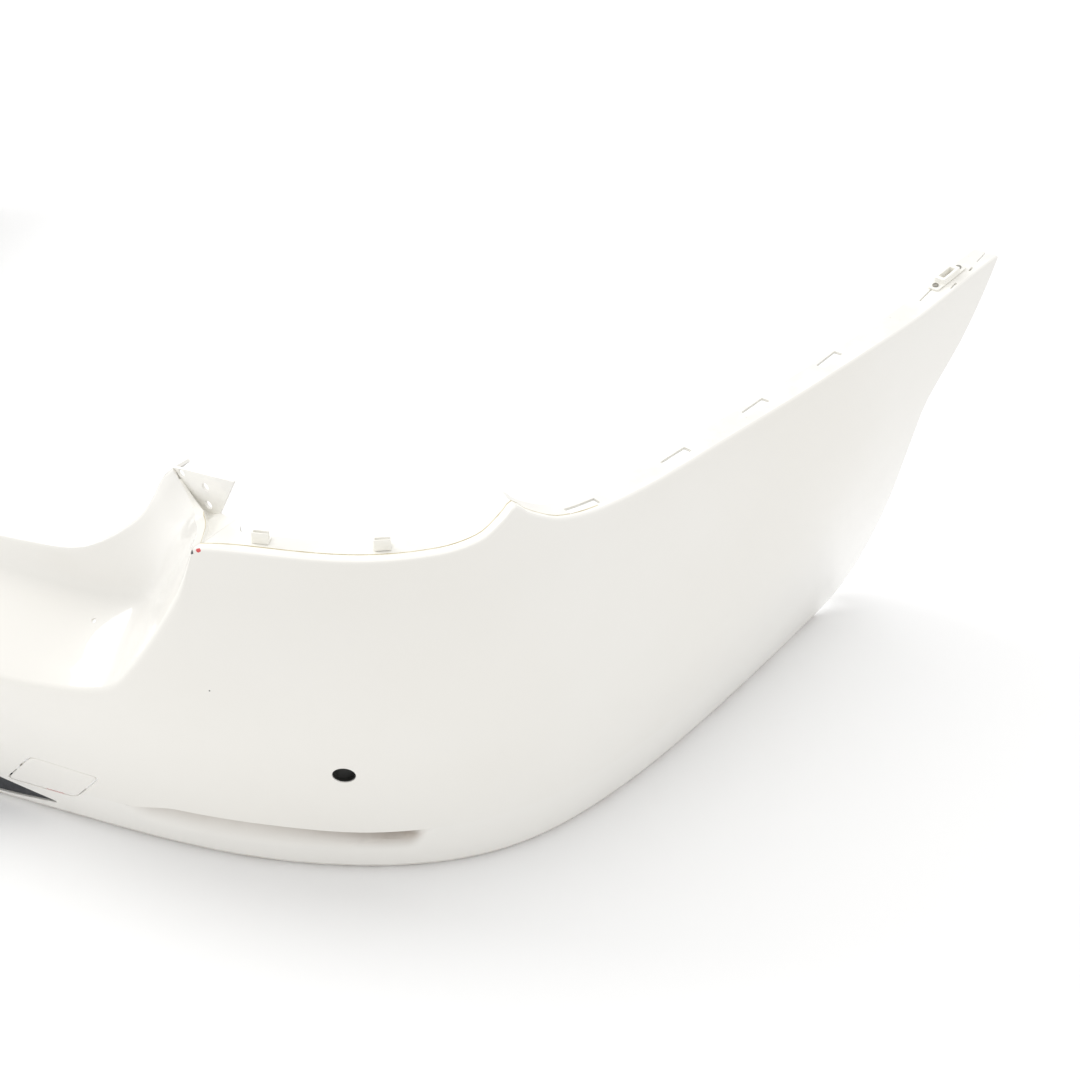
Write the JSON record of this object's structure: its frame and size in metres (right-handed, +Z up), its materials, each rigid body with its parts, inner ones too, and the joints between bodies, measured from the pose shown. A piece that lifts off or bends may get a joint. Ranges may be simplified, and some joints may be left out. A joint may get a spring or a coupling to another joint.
{
  "type": "bumper cover",
  "caption": "Painted rear bumper cover: curved moulded skin with boot-edge recess, lamp cut-outs, wheel-arch flanges, sensor sockets, black lower insert and hinged tow-eye cover.",
  "frame": {"origin": "middle of the footprint, on the plane of the lower flange's underside", "axes": "+X to the car's right seen from behind, along the width; +Y forwards into the car; +Z up"},
  "size_m": [1.8194, 1.1066, 0.4705],
  "materials": {
    "white_paint": "gloss white paint on moulded thermoplastic, bare cream plastic on the flanges",
    "black_grained": "fine grained matt black moulding",
    "black_plastic": "smooth satin black moulding",
    "cream_plastic": "satin cream moulding",
    "zinc_steel": "dull zinc-plated spring steel"
  },
  "bodies": {
    "bumper": {"bumper_skin": "white_paint", "lower_insert": "black_grained", "sensor_holder_outer_right": "black_plastic", "sensor_holder_outer_left": "black_plastic", "sensor_holder_inner_right": "black_plastic", "sensor_holder_inner_left": "black_plastic", "end_bracket_right": "cream_plastic", "end_bracket_left": "cream_plastic", "lamp_edge_clip_right_1": "cream_plastic", "lamp_edge_clip_right_2": "cream_plastic", "lamp_edge_clip_left_1": "cream_plastic", "lamp_edge_clip_left_2": "cream_plastic", "bracket_screw_right_1": "zinc_steel", "bracket_screw_right_2": "zinc_steel", "bracket_screw_left_1": "zinc_steel", "bracket_screw_left_2": "zinc_steel", "arch_nut_right_1": "zinc_steel", "arch_nut_right_2": "zinc_steel", "arch_nut_right_3": "zinc_steel", "arch_nut_left_1": "zinc_steel", "arch_nut_left_2": "zinc_steel", "arch_nut_left_3": "zinc_steel", "flange_nut_right_1": "zinc_steel", "flange_nut_right_2": "zinc_steel", "flange_nut_right_3": "zinc_steel", "flange_nut_right_4": "zinc_steel", "flange_nut_left_1": "zinc_steel", "flange_nut_left_2": "zinc_steel", "flange_nut_left_3": "zinc_steel", "flange_nut_left_4": "zinc_steel", "insert_push_nut_right_1": "zinc_steel", "insert_push_nut_right_2": "zinc_steel", "insert_push_nut_left_1": "zinc_steel", "insert_push_nut_left_2": "zinc_steel"},
    "tow_cover": {"tow_eye_cover": "white_paint"}
  },
  "joints": [
    {"name": "tow_cover_hinge", "type": "hinge", "parent": "bumper", "child": "tow_cover", "pos_m": [0.317, -0.46561, 0.08232], "axis": [-0.6381, 0.0242, -0.7696], "range_deg": [0, 75]}
  ]
}
